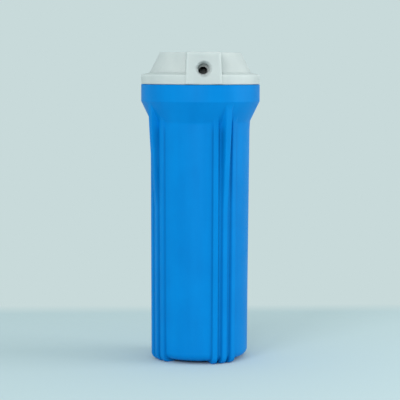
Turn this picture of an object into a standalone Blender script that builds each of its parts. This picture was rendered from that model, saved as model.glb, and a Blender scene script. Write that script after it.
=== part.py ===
"""Ten-inch cartridge filter housing with its pleated cartridge.

Metres, +Z up. The origin is the middle of the base, where the ribs stand, and the inlet port
faces -Y. The cap screws into the bowl with a right-hand thread on the Z axis.
"""

import math

import bmesh
import bpy
from mathutils import Matrix, Vector

MM = 0.001
GAP = 0.3 * MM  # between pieces that rest on each other
MERGE = 0.0001

# Driving dimensions of the housing
OVERALL_HEIGHT = 298.0 * MM
SEAM_Z = 267.0 * MM  # the bowl's rim, where the cap's flange meets it
COLLAR_R = 57.5 * MM  # the collar of the bowl and the flange of the cap
COLLAR_HEIGHT = 17.0 * MM
CONE_HEIGHT = 18.4 * MM
WALL_TOP_R = 47.9 * MM
WALL_FOOT_R = 46.3 * MM
WALL = 4.0 * MM
FLOOR_LIFT = 2.8 * MM  # the bowl's floor stands this far above the ribs' feet
CORNER_R = 7.2 * MM
EDGE = 0.7 * MM  # the break on the edges of the rim, the collar and the flange
SIDES = 40

CONE_TOP_Z = SEAM_Z - COLLAR_HEIGHT
CONE_END_Z = CONE_TOP_Z - CONE_HEIGHT

# The ledge for the O-ring and the thread inside the collar
LIP_R = 46.2 * MM
LIP_Z = SEAM_Z - 18.6 * MM
LIP_WIDTH = 1.6 * MM
LIP_BEVEL = 1.5 * MM
LEDGE_R = 51.0 * MM
LEDGE_Z = SEAM_Z - 20.9 * MM
BORE_R = 52.4 * MM
LEAD_IN = 1.2 * MM  # the slopes at the mouth and the foot of the threaded bore
O_RING_R = 48.5 * MM
O_RING_SECTION_R = 1.75 * MM

# The thread that joins the cap and the bowl
PITCH = 5.0 * MM
THREAD_STEPS = 36  # in one turn
RUN_OUT_STEPS = 8  # over which each end of the thread fades
THREAD_ROOT_HALF = 1.3 * MM
THREAD_CREST_HALF = 0.7 * MM
BOWL_THREAD = {
    "root": 52.9 * MM,
    "crest": 51.0 * MM,
    "low": SEAM_Z - 14.0 * MM,
    "high": SEAM_Z - 2.4 * MM,
}
CAP_THREAD = {
    "root": 50.0 * MM,
    "crest": 51.9 * MM,
    "low": SEAM_Z - 14.4 * MM,
    "high": SEAM_Z - 2.8 * MM,
}
BOWL_THREAD_PHASE_Z = BOWL_THREAD["low"]  # the height at which the bowl's ridge crosses +X

# Twelve ribs, in four groups of three
RIB_GROUPS = 4
RIB_GROUP_TURN = 26.5  # degrees from -Y towards +X
RIB_STEP = 11.8
RIB_WIDTH = 5.4 * MM
RIB_TOP_R = 49.7 * MM
RIB_FOOT_R = 48.7 * MM
RIB_TOP_Z = SEAM_Z - 31.0 * MM
RIB_CORNER_R = 7.0 * MM
RIB_FOOT_END_R = 32.0 * MM
RIB_EDGE = 1.2 * MM
GUSSET_TOP_Z = SEAM_Z - 16.0 * MM
GUSSET_TOP_R = 55.9 * MM
GUSSET_END_Z = 150.0 * MM
GUSSET_CURVE = 1.25  # how much faster its crest falls in towards the foot than near the collar
GUSSET_TOP_WIDTH = 7.4 * MM
EMBED = 2.0 * MM  # how deep the ribs reach into the wall

# The raised ring in the floor that carries the cartridge
SEAT_R = 17.5 * MM
SEAT_Z = 12.5 * MM
SEAT_TOP_HALF = 1.0 * MM
SEAT_FOOT_HALF = 2.0 * MM

# The cap
FLANGE_Z = SEAM_Z + GAP
FLANGE_TOP_Z = SEAM_Z + 9.6 * MM
DOME_FOOT_R = 49.2 * MM
DOME_FOOT_Z = SEAM_Z + 11.4 * MM
DOME_TOP_R = 39.4 * MM
DOME_TOP_Z = OVERALL_HEIGHT - 0.3 * MM
DOME_EDGE = 1.6 * MM  # the rounding of the dome's top edge and of the flange's upper edge
SKIRT_R = 50.5 * MM
SKIRT_INNER_R = 46.5 * MM
SKIRT_Z = LEDGE_Z + 2 * O_RING_SECTION_R + 2 * GAP
CEILING_Z = DOME_TOP_Z - 4.5 * MM
WELL_R = 14.5 * MM
WELL_BORE_R = 10.6 * MM
WELL_TOP_Z = DOME_TOP_Z - 8.7 * MM
KNIFE_R = 17.4 * MM  # the ring that presses into the cartridge's top gasket
KNIFE_HALF = 0.7 * MM
KNIFE_ROOT_HALF = 1.6 * MM
KNIFE_HEIGHT = 3.0 * MM
WELL_SLOPE_Z = SEAM_Z + 2.5 * MM
SKIRT_TOP_Z = SEAM_Z + 5.0 * MM
SPIGOT_R = 13.2 * MM
SPIGOT_Z = SEAM_Z - 13.5 * MM

# The two port blocks
BLOCK_TOP_WIDTH = 32.0 * MM
BLOCK_FOOT_WIDTH = 34.6 * MM
BLOCK_BOTTOM_Z = SEAM_Z + 1.0 * MM
BLOCK_INNER_Y = 34.0 * MM
BLOCK_EDGE = 1.4 * MM
PORT_Z = SEAM_Z + 15.0 * MM
PORT_R = 6.3 * MM  # the tapping bore of a quarter-inch pipe thread
PORT_DEPTH = 14.0 * MM
PORT_CHAMFER = 1.0 * MM
PASSAGE_R = 4.15 * MM
PASSAGE_Z = SEAM_Z + 13.0 * MM
PIPE_R = 7.5 * MM

# Four pilot holes for the screws of a wall bracket
PILOT_X = 26.0 * MM
PILOT_Y = 15.0 * MM
PILOT_R = 1.8 * MM
PILOT_DEPTH = 9.0 * MM
PILOT_BOSS_R = 4.2 * MM
PILOT_BOSS_Z = DOME_TOP_Z - 11.7 * MM

# The cartridge, a 248 mm (9 3/4 inch) element
CARTRIDGE_Z = SEAT_Z + GAP
CARTRIDGE_LENGTH = 248.0 * MM
CARTRIDGE_TOP_Z = CARTRIDGE_Z + CARTRIDGE_LENGTH
CARTRIDGE_R = 31.8 * MM
CARTRIDGE_BORE_R = 14.0 * MM
GASKET = 2.8 * MM
GASKET_R = 28.5 * MM
GASKET_BORE_R = 14.5 * MM
END_CAP = 6.0 * MM
END_CAP_LIP = 2.0 * MM
END_CAP_LIP_R = 30.9 * MM
CORE_R = 16.0 * MM
NETTING_R = 30.6 * MM
NETTING = 0.5 * MM
PLEATS = 30
PLEAT_INNER_R = 17.2 * MM
PLEAT_OUTER_R = 29.4 * MM
PLEAT_SHEET = 0.6 * MM
PLEAT_INNER_FLAT = 0.16  # half the width of the flat at an inner fold, as a share of a pleat
PLEAT_OUTER_FLAT = 0.14
CARTRIDGE_SIDES = 28
CORE_WINDOW_WIDTH = 8.0 * MM
CORE_WINDOW_DEPTH = 6.0 * MM  # of the cutter, more than the tube's wall
CORE_HOOP = 8.0 * MM  # the solid hoop left between two rows of windows
CORE_WINDOWS_AROUND = 6
CORE_WINDOW_ROWS = 8


def clear_scene():
    for obj in list(bpy.data.objects):
        bpy.data.objects.remove(obj, do_unlink=True)


def new_collection(name):
    collection = bpy.data.collections.new(name)
    bpy.context.scene.collection.children.link(collection)
    return collection


def plastic(name, colour, roughness):
    material = bpy.data.materials.new(name)
    material.use_nodes = True
    shader = material.node_tree.nodes["Principled BSDF"]
    shader.inputs["Base Color"].default_value = (*colour, 1.0)
    shader.inputs["Roughness"].default_value = roughness
    shader.inputs["Metallic"].default_value = 0.0
    return material


def add_object(name, mesh, collection, material=None):
    obj = bpy.data.objects.new(name, mesh)
    collection.objects.link(obj)
    if material is not None:
        mesh.materials.append(material)
    return obj


def add_tool(name, mesh):
    """A helper solid: it cuts a part or is joined to one, and isn't a part itself."""
    obj = add_object(name, mesh, tools)
    obj.hide_render = True
    obj.display_type = "WIRE"
    return obj


def arc(centre_r, centre_z, radius, start, end, segments):
    """Points on an arc in the profile plane; angles in degrees from +R towards +Z."""
    points = []
    for step in range(segments + 1):
        angle = math.radians(start + (end - start) * step / segments)
        points.append((centre_r + radius * math.cos(angle), centre_z + radius * math.sin(angle)))
    return points


def turned(name, profile, sides, material=None, closed=False):
    """Turns a profile of (radius, height) points about Z. Without a material it is a cutter."""
    count = len(profile)
    edges = [(i, i + 1) for i in range(count - 1)]
    if closed:
        edges.append((count - 1, 0))
    mesh = bpy.data.meshes.new(name)
    mesh.from_pydata([(r, 0.0, z) for r, z in profile], edges, [])
    obj = add_object(name, mesh, parts, material) if material else add_tool(name, mesh)
    screw = obj.modifiers.new("Turn", "SCREW")
    screw.axis = "Z"
    screw.steps = sides
    screw.render_steps = sides
    screw.use_merge_vertices = True
    screw.merge_threshold = MERGE
    screw.use_smooth_shade = True
    return obj


def boolean(obj, tool, operation):
    modifier = obj.modifiers.new(f"{operation.title()} {tool.name}", "BOOLEAN")
    modifier.operation = operation
    modifier.solver = "EXACT"
    modifier.object = tool


def outline_solid(name, points, half_thickness):
    """A flat outline of (x, y) points, thickened both ways along Z, as a closed mesh."""
    curve = bpy.data.curves.new(name, "CURVE")
    curve.dimensions = "2D"
    curve.fill_mode = "BOTH"
    curve.extrude = half_thickness
    spline = curve.splines.new("POLY")
    spline.points.add(len(points) - 1)
    for point, (x, y) in zip(spline.points, points):
        point.co = (x, y, 0.0, 1.0)
    spline.use_cyclic_u = True
    holder = add_object(name, curve, tools)
    graph = bpy.context.evaluated_depsgraph_get()
    mesh = bpy.data.meshes.new_from_object(holder.evaluated_get(graph))
    bpy.data.objects.remove(holder, do_unlink=True)
    solid = bmesh.new()
    solid.from_mesh(mesh)
    bmesh.ops.remove_doubles(solid, verts=solid.verts, dist=MERGE / 10)
    bmesh.ops.dissolve_limit(solid, angle_limit=0.001, verts=solid.verts, edges=solid.edges)
    solid.to_mesh(mesh)
    solid.free()
    return mesh


def box_into(mesh, centre, size):
    """Adds a box to a bmesh."""
    placing = Matrix.Translation(centre) @ Matrix.Diagonal((*size, 1.0))
    return bmesh.ops.create_cube(mesh, size=1.0, matrix=placing)["verts"]


def rod_into(mesh, start, end, start_r, end_r, sides):
    """Adds a closed cylinder or cone between two points to a bmesh."""
    axis = end - start
    turn = axis.to_track_quat("Z", "Y").to_matrix().to_4x4()
    bmesh.ops.create_cone(
        mesh,
        cap_ends=True,
        segments=sides,
        radius1=start_r,
        radius2=end_r,
        depth=axis.length,
        matrix=Matrix.Translation((start + end) / 2) @ turn,
    )


def finish_mesh(name, solid):
    mesh = bpy.data.meshes.new(name)
    bmesh.ops.recalc_face_normals(solid, faces=solid.faces)
    solid.to_mesh(mesh)
    solid.free()
    return mesh


def thread_mesh(name, thread, phase_z):
    """A right-hand ridge that winds up the Z axis and fades out at both ends."""
    rise = thread["high"] - thread["low"]
    steps = round(rise / PITCH * THREAD_STEPS)
    ridge = bmesh.new()
    sections = []
    for step in range(steps + 1):
        z = thread["low"] + rise * step / steps
        angle = 2 * math.pi * (z - phase_z) / PITCH
        full = min(1.0, (step + 1) / RUN_OUT_STEPS, (steps - step + 1) / RUN_OUT_STEPS)
        crest = thread["root"] + (thread["crest"] - thread["root"]) * full
        corners = [
            (thread["root"], -THREAD_ROOT_HALF),
            (crest, -THREAD_CREST_HALF),
            (crest, THREAD_CREST_HALF),
            (thread["root"], THREAD_ROOT_HALF),
        ]
        section = []
        for radius, lift in corners:
            point = (radius * math.cos(angle), radius * math.sin(angle), z + lift)
            section.append(ridge.verts.new(point))
        sections.append(section)
    for low, high in zip(sections, sections[1:]):
        for i in range(4):
            j = (i + 1) % 4
            ridge.faces.new((low[i], low[j], high[j], high[i]))
    ridge.faces.new(sections[0])
    ridge.faces.new(sections[-1])
    return finish_mesh(name, ridge)


def wall_r(z):
    """The bowl's outer radius between its floor corner and its cone."""
    share = (z - FLOOR_LIFT - CORNER_R) / (CONE_END_Z - FLOOR_LIFT - CORNER_R)
    return WALL_FOOT_R + (WALL_TOP_R - WALL_FOOT_R) * share


def crest_r(z):
    """The radius of a rib's crest."""
    share = (z - RIB_CORNER_R) / (RIB_TOP_Z - RIB_CORNER_R)
    return RIB_FOOT_R + (RIB_TOP_R - RIB_FOOT_R) * share


def gusset_crest(segments):
    """The middle rib's crest where it swells out to the collar, from the top down."""
    points = []
    for step in range(segments + 1):
        fall = step / segments
        z = GUSSET_TOP_Z + (GUSSET_END_Z - GUSSET_TOP_Z) * fall
        end_r = crest_r(GUSSET_END_Z)
        points.append((GUSSET_TOP_R + (end_r - GUSSET_TOP_R) * fall**GUSSET_CURVE, z))
    return points


def rib_outline(gusset):
    """A rib from the side, as (radius, height) points; its back edge lies inside the wall."""
    corner_z = FLOOR_LIFT + CORNER_R
    corner_r = WALL_FOOT_R - CORNER_R
    back = arc(corner_r, corner_z, CORNER_R - EMBED, -90, 0, 4)
    back = [(RIB_FOOT_END_R - EMBED, FLOOR_LIFT + EMBED), *back]
    if gusset:
        back.append((wall_r(CONE_END_Z) - EMBED, CONE_END_Z))
        back.append((WALL_TOP_R - EMBED / 2, (CONE_END_Z + LEDGE_Z) / 2))
        back.append((LEDGE_R + EMBED, LEDGE_Z))
        back.append((BORE_R + EMBED, GUSSET_TOP_Z))
        front = gusset_crest(5)
    else:
        back.append((wall_r(RIB_TOP_Z) - EMBED, RIB_TOP_Z))
        front = [(crest_r(RIB_TOP_Z), RIB_TOP_Z)]
    foot = arc(RIB_FOOT_R - RIB_CORNER_R, RIB_CORNER_R, RIB_CORNER_R, 0, -90, 5)
    return [*back, *front, *foot, (RIB_FOOT_END_R, 0.0)]


def rib_solid(gusset):
    """One rib, standing on its foot and pointing to +X, with its edges rounded."""
    mesh = outline_solid("rib_outline", rib_outline(gusset), RIB_WIDTH / 2 - RIB_EDGE)
    rib = bmesh.new()
    rib.from_mesh(mesh)
    bpy.data.meshes.remove(mesh)
    sides = [face for face in rib.faces if abs(face.normal.z) > 0.9]
    for inward, outward in ((0.3, 0.7), (0.7, 0.3)):
        bmesh.ops.inset_region(
            rib,
            faces=sides,
            thickness=inward * RIB_EDGE,
            depth=outward * RIB_EDGE,
            use_even_offset=True,
        )
    bmesh.ops.rotate(rib, verts=rib.verts, matrix=Matrix.Rotation(math.pi / 2, 3, "X"))
    if gusset:
        for vert in rib.verts:
            share = max(0.0, (vert.co.z - GUSSET_END_Z) / (GUSSET_TOP_Z - GUSSET_END_Z))
            vert.co.y *= 1 + share * (GUSSET_TOP_WIDTH / RIB_WIDTH - 1)
    return finish_mesh("rib", rib)


def ribs_mesh():
    """All twelve ribs. The middle one of each group rises to the collar as a gusset."""
    plain = rib_solid(gusset=False)
    tall = rib_solid(gusset=True)
    ribs = bmesh.new()
    for group in range(RIB_GROUPS):
        for place in (-1, 0, 1):
            turn = RIB_GROUP_TURN - 90 + 360 / RIB_GROUPS * group + RIB_STEP * place
            copy = (tall if place == 0 else plain).copy()
            copy.transform(Matrix.Rotation(math.radians(turn), 4, "Z"))
            ribs.from_mesh(copy)
            bpy.data.meshes.remove(copy)
    return finish_mesh("sump_ribs", ribs)


def make_sump(material):
    """The bowl: one moulding with its collar, cone, ribs, O-ring ledge and thread."""
    floor_z = FLOOR_LIFT + WALL
    corner_z = FLOOR_LIFT + CORNER_R
    corner_r = WALL_FOOT_R - CORNER_R
    inner = [
        (0.0, floor_z),
        (SEAT_R - SEAT_FOOT_HALF, floor_z),
        (SEAT_R - SEAT_TOP_HALF, SEAT_Z),
        (SEAT_R + SEAT_TOP_HALF, SEAT_Z),
        (SEAT_R + SEAT_FOOT_HALF, floor_z),
        *arc(corner_r, corner_z, CORNER_R - WALL, -90, 0, 4),
        (WALL_TOP_R - WALL, CONE_END_Z),
        (LIP_R - LIP_WIDTH - EDGE, LIP_Z - LIP_BEVEL),
        (LIP_R - LIP_WIDTH, LIP_Z),
        (LIP_R, LIP_Z),
        (LIP_R, LEDGE_Z),
        (LEDGE_R, LEDGE_Z),
        (LEDGE_R, CONE_TOP_Z),
        (BORE_R, CONE_TOP_Z + LEAD_IN),
        (BORE_R, SEAM_Z - LEAD_IN),
        (BORE_R + LEAD_IN, SEAM_Z),
    ]
    outer = [
        (COLLAR_R - EDGE, SEAM_Z),
        (COLLAR_R, SEAM_Z - EDGE),
        (COLLAR_R, CONE_TOP_Z + 2 * EDGE),
        (COLLAR_R - EDGE, CONE_TOP_Z - EDGE),
        (WALL_TOP_R + EDGE, CONE_END_Z + EDGE),
        (WALL_TOP_R, CONE_END_Z - 2 * EDGE),
        *arc(corner_r, corner_z, CORNER_R, 0, -90, 5),
        (0.0, FLOOR_LIFT),
    ]
    sump = turned("sump", [*inner, *outer], SIDES, material)
    boolean(sump, add_tool("sump_ribs", ribs_mesh()), "UNION")
    thread = thread_mesh("sump_thread", BOWL_THREAD, BOWL_THREAD_PHASE_Z)
    boolean(sump, add_tool("sump_thread", thread), "UNION")


def block_mesh():
    """Both port blocks, a little wider at the foot, with the outlet's pipe to the well."""
    blocks = bmesh.new()
    height = OVERALL_HEIGHT - BLOCK_BOTTOM_Z
    depth = COLLAR_R - BLOCK_INNER_Y
    for side in (-1, 1):
        centre = (0.0, side * (BLOCK_INNER_Y + depth / 2), BLOCK_BOTTOM_Z + height / 2)
        verts = box_into(blocks, centre, (BLOCK_FOOT_WIDTH, depth, height))
        for vert in verts:
            if vert.co.z > centre[2]:
                vert.co.x *= BLOCK_TOP_WIDTH / BLOCK_FOOT_WIDTH
        edges = {edge for vert in verts for edge in vert.link_edges}
        front = COLLAR_R - MERGE
        rounded = [e for e in edges if all(v.co.y * side > front for v in e.verts)]
        rounded += [e for e in edges if all(v.co.z > OVERALL_HEIGHT - MERGE for v in e.verts)]
        bmesh.ops.bevel(
            blocks, geom=list(set(rounded)), offset=BLOCK_EDGE, segments=2, profile=0.5,
            affect="EDGES",
        )
    return finish_mesh("port_blocks", blocks)


def make_cap(material):
    """The head: flange, hollow dome, skirt, port blocks, outlet well and bracket bosses."""
    outer = [
        (0.0, DOME_TOP_Z),
        *arc(DOME_TOP_R - DOME_EDGE, DOME_TOP_Z - DOME_EDGE, DOME_EDGE, 90, 20, 2),
        (DOME_FOOT_R, DOME_FOOT_Z + EDGE),
        (DOME_FOOT_R + EDGE, DOME_FOOT_Z),
        *arc(COLLAR_R - DOME_EDGE, FLANGE_TOP_Z - DOME_EDGE, DOME_EDGE, 80, 0, 2),
        (COLLAR_R, FLANGE_Z + EDGE),
        (COLLAR_R - EDGE, FLANGE_Z),
        (SKIRT_R, FLANGE_Z),
        (SKIRT_R, SKIRT_Z + EDGE),
        (SKIRT_R - EDGE, SKIRT_Z),
    ]
    root_z = CARTRIDGE_TOP_Z + KNIFE_HEIGHT
    inner = [
        (SKIRT_INNER_R + EDGE, SKIRT_Z),
        (SKIRT_INNER_R, SKIRT_Z + EDGE),
        (SKIRT_INNER_R, SKIRT_TOP_Z),
        (DOME_FOOT_R - WALL, DOME_FOOT_Z - DOME_EDGE),
        (DOME_TOP_R - WALL, CEILING_Z),
        (WELL_R, CEILING_Z),
        (WELL_R, WELL_SLOPE_Z),
        (KNIFE_R + KNIFE_ROOT_HALF, WELL_SLOPE_Z - KNIFE_ROOT_HALF),
        (KNIFE_R + KNIFE_ROOT_HALF, root_z),
        (KNIFE_R + KNIFE_HALF, CARTRIDGE_TOP_Z + GAP),
        (KNIFE_R - KNIFE_HALF, CARTRIDGE_TOP_Z + GAP),
        (KNIFE_R - KNIFE_ROOT_HALF, root_z),
        (SPIGOT_R, root_z),
        (SPIGOT_R, SPIGOT_Z + EDGE),
        (SPIGOT_R - EDGE, SPIGOT_Z),
        (WELL_BORE_R, SPIGOT_Z),
        (WELL_BORE_R, WELL_TOP_Z),
        (0.0, WELL_TOP_Z),
    ]
    cap = turned("cap", [*outer, *inner], SIDES, material)
    thread = thread_mesh("cap_thread", CAP_THREAD, BOWL_THREAD_PHASE_Z - PITCH / 2)
    boolean(cap, add_tool("cap_thread", thread), "UNION")
    boolean(cap, add_tool("port_blocks", block_mesh()), "UNION")
    boolean(cap, add_tool("cap_bosses", bosses_mesh()), "UNION")
    boolean(cap, add_bore("inlet_bore", -1), "DIFFERENCE")
    boolean(cap, add_bore("outlet_bore", 1), "DIFFERENCE")
    boolean(cap, add_tool("cap_passages", passages_mesh()), "DIFFERENCE")


def pilot_places():
    return [(x, y) for x in (-PILOT_X, PILOT_X) for y in (-PILOT_Y, PILOT_Y)]


def bosses_mesh():
    """The outlet's pipe from its block to the well, and a boss round each pilot hole."""
    bosses = bmesh.new()
    pipe_start = Vector((0, WELL_BORE_R + EMBED, PASSAGE_Z))
    pipe_end = Vector((0, BLOCK_INNER_Y + EMBED, PASSAGE_Z))
    rod_into(bosses, pipe_start, pipe_end, PIPE_R, PIPE_R, 16)
    for x, y in pilot_places():
        low = Vector((x, y, PILOT_BOSS_Z))
        high = Vector((x, y, CEILING_Z + EMBED))
        rod_into(bosses, low, high, PILOT_BOSS_R, PILOT_BOSS_R, 12)
    return finish_mesh("cap_bosses", bosses)


def add_bore(name, side):
    """A cutter for a tapped bore with a chamfered mouth; side is -1 for the inlet, 1 for the outlet."""
    profile = [
        (0.0, PORT_CHAMFER),
        (PORT_R + 2 * PORT_CHAMFER, PORT_CHAMFER),
        (PORT_R, -PORT_CHAMFER),
        (PORT_R, -PORT_DEPTH),
        (0.0, -PORT_DEPTH),
    ]
    bore = turned(name, profile, 24)
    bore.rotation_euler = (-side * math.pi / 2, 0.0, 0.0)
    bore.location = (0.0, side * COLLAR_R, PORT_Z)
    return bore


def passages_mesh():
    """The water passages behind the ports, and the pilot holes in the top."""
    passages = bmesh.new()
    start_y = COLLAR_R - PORT_DEPTH + MM
    for side, end_y in ((-1, BLOCK_INNER_Y - WALL), (1, WELL_BORE_R - EMBED)):
        start = Vector((0, side * start_y, PASSAGE_Z))
        end = Vector((0, side * end_y, PASSAGE_Z))
        rod_into(passages, start, end, PASSAGE_R, PASSAGE_R, 16)
    for x, y in pilot_places():
        low = Vector((x, y, DOME_TOP_Z - PILOT_DEPTH))
        high = Vector((x, y, DOME_TOP_Z + MM))
        rod_into(passages, low, high, PILOT_R, PILOT_R, 12)
    return finish_mesh("cap_passages", passages)


def make_o_ring(material):
    bpy.ops.mesh.primitive_torus_add(
        major_segments=SIDES,
        minor_segments=8,
        major_radius=O_RING_R,
        minor_radius=O_RING_SECTION_R,
        location=(0, 0, LEDGE_Z + O_RING_SECTION_R + GAP),
    )
    ring = bpy.context.object
    ring.name = "sump_o_ring"
    ring.data.materials.append(material)
    ring.data.shade_smooth()
    for collection in list(ring.users_collection):
        collection.objects.unlink(ring)
    parts.objects.link(ring)


def ring_profile(inner_r, outer_r, low_z, high_z):
    """A plain ring's closed profile, from its top inner corner outwards and down."""
    return [(inner_r, high_z), (outer_r, high_z), (outer_r, low_z), (inner_r, low_z)]


def make_gasket(name, low_z, material):
    profile = ring_profile(GASKET_BORE_R, GASKET_R, low_z, low_z + GASKET)
    turned(name, profile, CARTRIDGE_SIDES, material, closed=True)


def make_end_cap(name, outer_z, inward, material):
    """A disc with a shallow lip that holds the ends of the netting and the pleats."""
    inner_z = outer_z + inward * END_CAP
    lip_z = inner_z + inward * END_CAP_LIP
    profile = [
        (CARTRIDGE_BORE_R, outer_z),
        (CARTRIDGE_R - EDGE, outer_z),
        (CARTRIDGE_R, outer_z + inward * EDGE),
        (CARTRIDGE_R, lip_z),
        (END_CAP_LIP_R, lip_z),
        (END_CAP_LIP_R, inner_z),
        (CARTRIDGE_BORE_R, inner_z),
    ]
    if inward > 0:
        profile.reverse()
    turned(name, profile, CARTRIDGE_SIDES, material, closed=True)


def make_core(low_z, high_z, material):
    """The perforated centre tube, with rows of upright windows."""
    profile = ring_profile(CARTRIDGE_BORE_R, CORE_R, low_z, high_z)
    core = turned("cartridge_core", profile, 24, material, closed=True)
    windows = bmesh.new()
    row_height = (high_z - low_z) / CORE_WINDOW_ROWS
    size = (CORE_WINDOW_DEPTH, CORE_WINDOW_WIDTH, row_height - CORE_HOOP)
    for row in range(CORE_WINDOW_ROWS):
        z = low_z + (row + 0.5) * row_height
        for place in range(CORE_WINDOWS_AROUND):
            turn = math.radians(360 / CORE_WINDOWS_AROUND * (place + row % 2 / 2))
            placing = Matrix.Rotation(turn, 4, "Z") @ Matrix.Translation((CORE_R - MM, 0, z))
            placing = placing @ Matrix.Diagonal((*size, 1.0))
            bmesh.ops.create_cube(windows, size=1.0, matrix=placing)
    boolean(core, add_tool("core_windows", finish_mesh("core_windows", windows)), "DIFFERENCE")


def make_media(low_z, high_z, material):
    """The folded sheet: a zigzag round the core, with short flats at its folds."""
    points = []
    step = 2 * math.pi / PLEATS
    folds = ((PLEAT_INNER_R, 0.0, PLEAT_INNER_FLAT), (PLEAT_OUTER_R, 0.5, PLEAT_OUTER_FLAT))
    for pleat in range(PLEATS):
        for radius, place, half in folds:
            for side in (-1, 1):
                angle = step * (pleat + place + side * half)
                points.append((radius * math.cos(angle), radius * math.sin(angle)))
    sheet = bmesh.new()
    low = [sheet.verts.new((x, y, low_z)) for x, y in points]
    edges = [sheet.edges.new((a, b)) for a, b in zip(low, low[1:] + low[:1])]
    raised = bmesh.ops.extrude_edge_only(sheet, edges=edges)["geom"]
    tops = [item for item in raised if isinstance(item, bmesh.types.BMVert)]
    bmesh.ops.translate(sheet, verts=tops, vec=(0, 0, high_z - low_z))
    media = add_object("pleated_media", finish_mesh("pleated_media", sheet), parts, material)
    wall = media.modifiers.new("Sheet", "SOLIDIFY")
    wall.thickness = PLEAT_SHEET
    wall.offset = 0.0
    wall.use_even_offset = True


def make_cartridge(foam, plastisol, paper, net, core_plastic):
    top_z = CARTRIDGE_TOP_Z
    low_disc_z = CARTRIDGE_Z + GASKET + GAP
    high_disc_z = top_z - GASKET - GAP
    low_z = low_disc_z + END_CAP + GAP
    high_z = high_disc_z - END_CAP - GAP
    make_gasket("bottom_gasket", CARTRIDGE_Z, foam)
    make_gasket("top_gasket", top_z - GASKET, foam)
    make_end_cap("cartridge_bottom_end_cap", low_disc_z, 1, plastisol)
    make_end_cap("cartridge_top_end_cap", high_disc_z, -1, plastisol)
    make_core(low_z, high_z, core_plastic)
    make_media(low_z, high_z, paper)
    profile = ring_profile(NETTING_R - NETTING, NETTING_R, low_z, high_z)
    turned("cartridge_netting", profile, CARTRIDGE_SIDES, net, closed=True)


clear_scene()
parts = new_collection("cartridge_filter_housing")
tools = new_collection("cutters")

make_sump(plastic("blue_polypropylene", (0.0, 0.24, 0.72), 0.38))
make_cap(plastic("white_polypropylene", (0.80, 0.83, 0.82), 0.42))
make_o_ring(plastic("black_rubber", (0.015, 0.015, 0.015), 0.55))
make_cartridge(
    foam=plastic("gasket_foam", (0.55, 0.56, 0.55), 0.9),
    plastisol=plastic("end_cap_plastisol", (0.08, 0.22, 0.55), 0.6),
    paper=plastic("pleated_polyester", (0.86, 0.86, 0.82), 0.85),
    net=plastic("white_netting", (0.82, 0.83, 0.82), 0.6),
    core_plastic=plastic("core_polypropylene", (0.78, 0.79, 0.78), 0.5),
)
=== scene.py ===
# %% [markdown]
# # A ten-inch cartridge filter housing
# A blue bowl holds a pleated cartridge, and a white cap with two water ports screws into it.
# The solid model that this script loads already works and moves, but its faces are coarse.
# Here each piece that shows gets its moulded shape, with rounded edges, fillets and threads,
# and a finish of its own, and everything stays on the solid model's bodies.

import math

import bpy
import numpy as np
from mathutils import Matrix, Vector


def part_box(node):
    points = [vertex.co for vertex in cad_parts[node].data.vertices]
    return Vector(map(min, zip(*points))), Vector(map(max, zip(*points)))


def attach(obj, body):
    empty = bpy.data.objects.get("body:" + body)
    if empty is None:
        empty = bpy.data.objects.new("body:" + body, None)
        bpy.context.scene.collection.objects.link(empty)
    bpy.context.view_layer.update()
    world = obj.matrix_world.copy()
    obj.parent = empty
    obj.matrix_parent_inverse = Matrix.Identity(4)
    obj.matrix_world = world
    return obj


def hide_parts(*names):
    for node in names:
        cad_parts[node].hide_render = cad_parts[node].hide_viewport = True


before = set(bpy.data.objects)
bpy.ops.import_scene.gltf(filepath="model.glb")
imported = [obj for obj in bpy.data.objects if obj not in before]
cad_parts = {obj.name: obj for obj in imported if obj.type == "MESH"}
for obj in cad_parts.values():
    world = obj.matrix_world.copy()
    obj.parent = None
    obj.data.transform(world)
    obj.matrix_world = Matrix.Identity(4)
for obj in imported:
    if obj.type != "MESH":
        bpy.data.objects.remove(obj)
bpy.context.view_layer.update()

# %% [markdown]
# ## Sizes
# The few driving sizes are read from the solid model, so that the new pieces fill the same
# space. Below them come the sizes that only the moulded details need. Everything is in metres,
# with Z up along the thread's axis and the inlet port facing -Y.

# %% Driving sizes, read from the frame
MM = 0.001
GAP = 0.3 * MM  # between pieces that meet
EDGE = 0.7 * MM  # the usual fillet of a moulded edge
PITCH = 5.0 * MM
WALL = 4.0 * MM
OVERLAP = 1.0 * MM  # how far a helper solid reaches past the face that it joins or cuts
ON_WALL = 0.05 * MM  # how near to a wall's radius a vertex counts as on it

SEAM_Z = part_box("sump")[1].z
COLLAR_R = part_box("sump")[1].x
TOP_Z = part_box("cap")[1].z
CARTRIDGE_TOP_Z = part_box("top_gasket")[1].z
MEDIA_LOW_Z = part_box("pleated_media")[0].z
MEDIA_HIGH_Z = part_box("pleated_media")[1].z
RING_LOW_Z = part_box("sump_o_ring")[0].z
RING_HIGH_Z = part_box("sump_o_ring")[1].z
print(f"seam at {SEAM_Z / MM:.1f} mm, top at {TOP_Z / MM:.1f} mm")
print(f"collar radius {COLLAR_R / MM:.1f} mm")

# %% [markdown]
# ## Tools for turning a piece
# Nearly every piece of the housing is round about one axis. A potter or a lathe would make it
# from one outline, and Blender's spin does the same: the outline is drawn as a chain of
# vertices, one extrusion after another, and spun through a full turn. Real mouldings have no
# knife-sharp corners, so the outline's corners are rounded before it is spun.


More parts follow.
